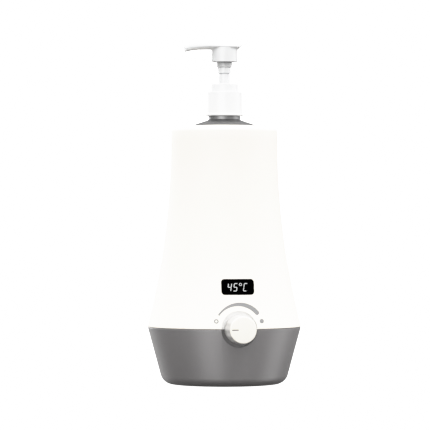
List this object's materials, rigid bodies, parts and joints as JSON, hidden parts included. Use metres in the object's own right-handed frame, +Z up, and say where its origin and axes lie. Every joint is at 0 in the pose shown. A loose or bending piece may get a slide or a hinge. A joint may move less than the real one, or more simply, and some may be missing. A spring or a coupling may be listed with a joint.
{
  "type": "massage oil warmer",
  "caption": "Flared white heater body on a grey base with a rotary knob and display, holding a lift-out metal bottle with a lotion pump.",
  "frame": {"origin": "centre of the foot ring, on the table it stands on", "axes": "+Z up along the bottle's axis, -Y out through the knob, the spout along -X at rest"},
  "size_m": [0.138, 0.153, 0.3074],
  "materials": {
    "white_shell": "satin moulded ABS",
    "grey_shell": "satin moulded ABS, warm grey",
    "white_knob": "satin moulded ABS",
    "white_pump": "polished polypropylene",
    "natural_plastic": "translucent polypropylene",
    "grey_print": "grey filled line",
    "black_lens": "smoked acrylic",
    "black_plastic": "moulded",
    "bottle_aluminium": "satin, drawn",
    "spun_aluminium": "spun",
    "zinc_steel": "zinc plated",
    "grey_silicone": "matt silicone",
    "red_silicone": "matt silicone",
    "black_rubber": "matt rubber",
    "amber_heater": "silicone heater mat",
    "pale_foam": "closed-cell foam",
    "ivory_ceramic": "glazed",
    "red_wire": "silicone insulation",
    "yellow_wire": "insulation",
    "green_board": "solder mask",
    "blue_relay": "moulded"
  },
  "bodies": {
    "warmer": {"foot_ring": "grey_silicone", "bottom_plate": "grey_shell", "plate_screws": "zinc_steel", "base_shell": "grey_shell", "body_shell": "white_shell", "cord_gland": "black_rubber", "heating_cup": "spun_aluminium", "cup_seal": "red_silicone", "bottle_pad": "grey_silicone", "heater_band": "amber_heater", "foam_sleeve": "pale_foam", "temperature_probe": "black_rubber", "thermal_cutoff": "ivory_ceramic", "heater_leads": "red_wire", "probe_lead": "black_rubber", "cutoff_lead": "red_wire", "control_leads": "yellow_wire", "control_board": "green_board", "board_relay": "blue_relay", "board_screws": "zinc_steel", "display_module": "black_plastic", "display_lens": "black_lens", "control_body": "zinc_steel", "control_nut": "zinc_steel"},
    "knob": {"control_shaft": "zinc_steel", "knob": "white_knob", "knob_pointer": "grey_print"},
    "bottle": {"bottle": "bottle_aluminium"},
    "neck_seal": {"neck_gasket": "natural_plastic"},
    "pump_core": {"pump_chamber": "natural_plastic", "chaplet": "white_pump", "dip_tube": "natural_plastic", "check_ball": "zinc_steel", "return_spring": "zinc_steel"},
    "collar": {"screw_collar": "white_pump"},
    "plunger": {"pump_stem": "white_pump", "piston": "natural_plastic"},
    "head": {"pump_head": "white_pump"}
  },
  "joints": [
    {"name": "knob_turn", "type": "hinge", "parent": "warmer", "child": "knob", "pos_m": [0, 0, 0.052], "axis": [0, 1, 0], "range_deg": [0, 180]},
    {"name": "bottle_lift", "type": "slide", "parent": "warmer", "child": "bottle", "axis": [0, 0, 1], "range_m": [0, 0.215]},
    {"name": "pump_lift", "type": "slide", "parent": "bottle", "child": "neck_seal", "axis": [0, 0, 1], "range_m": [0, 0.235]},
    {"name": "collar_rise", "type": "slide", "parent": "neck_seal", "child": "pump_core", "axis": [0, 0, 1], "range_m": [0, 0.00635]},
    {"name": "collar_turn", "type": "hinge", "parent": "pump_core", "child": "collar", "pos_m": [0, 0, 0.25], "axis": [0, 0, 1], "range_deg": [0, 540]},
    {"name": "pump_press", "type": "slide", "parent": "pump_core", "child": "plunger", "axis": [0, 0, -1], "range_m": [0, 0.018], "stiffness_N_per_m": 350, "springref_m": -0.02, "deforming": ["return_spring"]},
    {"name": "head_swivel", "type": "hinge", "parent": "plunger", "child": "head", "pos_m": [0, 0, 0.29], "axis": [0, 0, 1], "continuous": true}
  ],
  "couplings": [
    {"joint": "collar_turn", "follows": "collar_rise", "rad_per_m": 1484.2}
  ]
}
